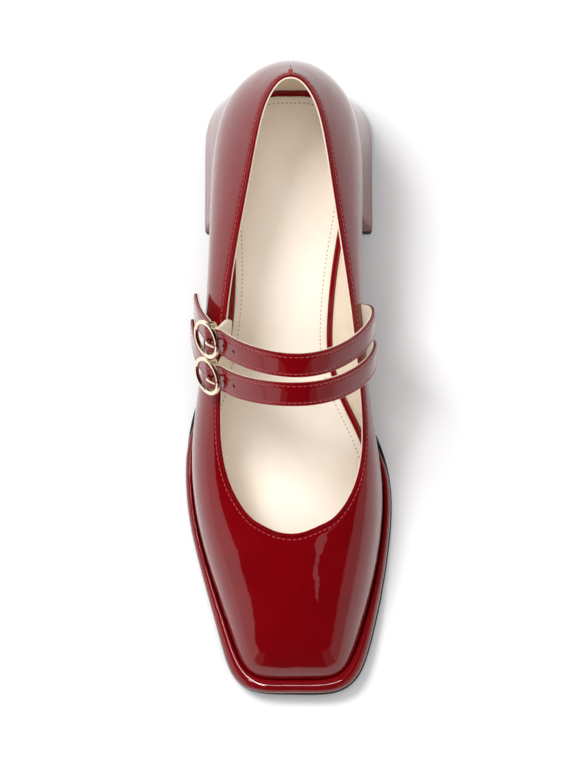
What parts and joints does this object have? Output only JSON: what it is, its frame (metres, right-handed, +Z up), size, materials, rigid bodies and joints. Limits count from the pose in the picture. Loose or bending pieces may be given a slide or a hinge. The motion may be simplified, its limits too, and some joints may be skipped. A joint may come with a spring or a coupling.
{
  "type": "mary jane shoe",
  "caption": "Square-toed patent leather mary jane shoe with a low block heel, an open throat and buckled instep straps, standing empty and unbent on its heel and forefoot",
  "frame": {"origin": "the middle of the shoe's box in plan, on the plane that the heel and the forefoot stand on", "axes": "+Z up; the toe points along -Y and the heel along +Y; +X is the inner (medial) side of this right shoe and -X its outer (lateral) side with the buckles"},
  "size_m": [0.0838, 0.2532, 0.1039],
  "materials": {
    "patent_leather": "deep red patent leather with a mirror-like clear coat",
    "lining_leather": "smooth matt cream lining leather",
    "black_rubber": "black rubber with a faint texture",
    "pale_gold": "polished pale gold plating"
  },
  "bodies": {
    "root": {"upper": "patent_leather", "insole": "lining_leather", "outsole": "black_rubber", "rand": "patent_leather", "heel_block": "patent_leather", "top_lift": "black_rubber", "strap_rear": "patent_leather", "buckle_rear": "pale_gold", "prong_rear": "pale_gold", "buckle_tab_rear": "lining_leather", "strap_front": "patent_leather", "buckle_front": "pale_gold", "prong_front": "pale_gold", "buckle_tab_front": "lining_leather"}
  },
  "joints": []
}
